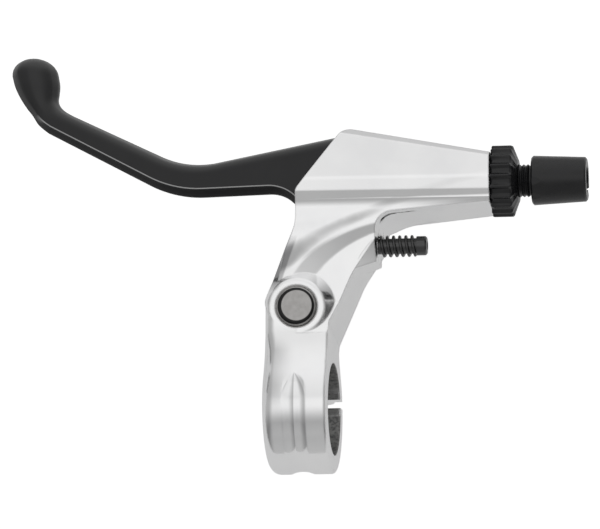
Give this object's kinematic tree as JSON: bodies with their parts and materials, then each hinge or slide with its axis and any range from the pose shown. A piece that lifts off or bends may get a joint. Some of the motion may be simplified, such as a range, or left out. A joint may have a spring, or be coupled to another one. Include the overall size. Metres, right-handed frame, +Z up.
{
  "type": "bicycle brake lever",
  "caption": "Flat-bar bicycle brake lever: polished forged bracket with a bar clamp, black blade with a ball end, sprung reach screw, and a cable adjuster with its locknut.",
  "frame": {"origin": "centre of the handlebar clamp's bore", "axes": "+X along the handlebar towards its middle, +Y forward from the bar to the pivot and blade, +Z up along the lever's pivot"},
  "size_m": [0.1415, 0.1037, 0.0372],
  "materials": {
    "polished_aluminium": "polished",
    "black_lever": "black satin coating",
    "satin_steel": "satin",
    "black_steel": "black oxide",
    "adjuster_resin": "satin black",
    "bush_resin": "smooth"
  },
  "bodies": {
    "bracket": {"bracket": "polished_aluminium", "clamp_bolt": "black_steel", "reach_spring": "black_steel"},
    "pivot": {"pivot_axle": "satin_steel", "axle_clip": "satin_steel", "pivot_bush_upper": "bush_resin", "pivot_bush_lower": "bush_resin"},
    "lever": {"lever": "black_lever"},
    "reach_screw": {"reach_screw": "black_steel"},
    "adjuster": {"cable_adjuster": "adjuster_resin"},
    "locknut": {"adjuster_locknut": "adjuster_resin"}
  },
  "joints": [
    {"name": "reach_set", "type": "hinge", "parent": "bracket", "child": "pivot", "pos_m": [0, 0.0238, 0], "axis": [0, 0, 1], "range_deg": [0, 11]},
    {"name": "lever_pull", "type": "hinge", "parent": "pivot", "child": "lever", "pos_m": [0, 0.0238, 0], "axis": [0, 0, 1], "range_deg": [0, 30]},
    {"name": "reach_turn_in", "type": "slide", "parent": "bracket", "child": "reach_screw", "axis": [-1, 0, 0], "range_m": [0, 0.00284], "deforming": ["reach_spring"]},
    {"name": "cable_tension", "type": "slide", "parent": "bracket", "child": "adjuster", "axis": [1, 0, 0], "range_m": [-0.0025, 0.005]},
    {"name": "locknut_turn", "type": "hinge", "parent": "bracket", "child": "locknut", "pos_m": [0.05, 0.05475, 0], "axis": [1, 0, 0], "continuous": true}
  ],
  "couplings": [
    {"joint": "reach_turn_in", "follows": "reach_set", "m_per_rad": 0.014783}
  ]
}
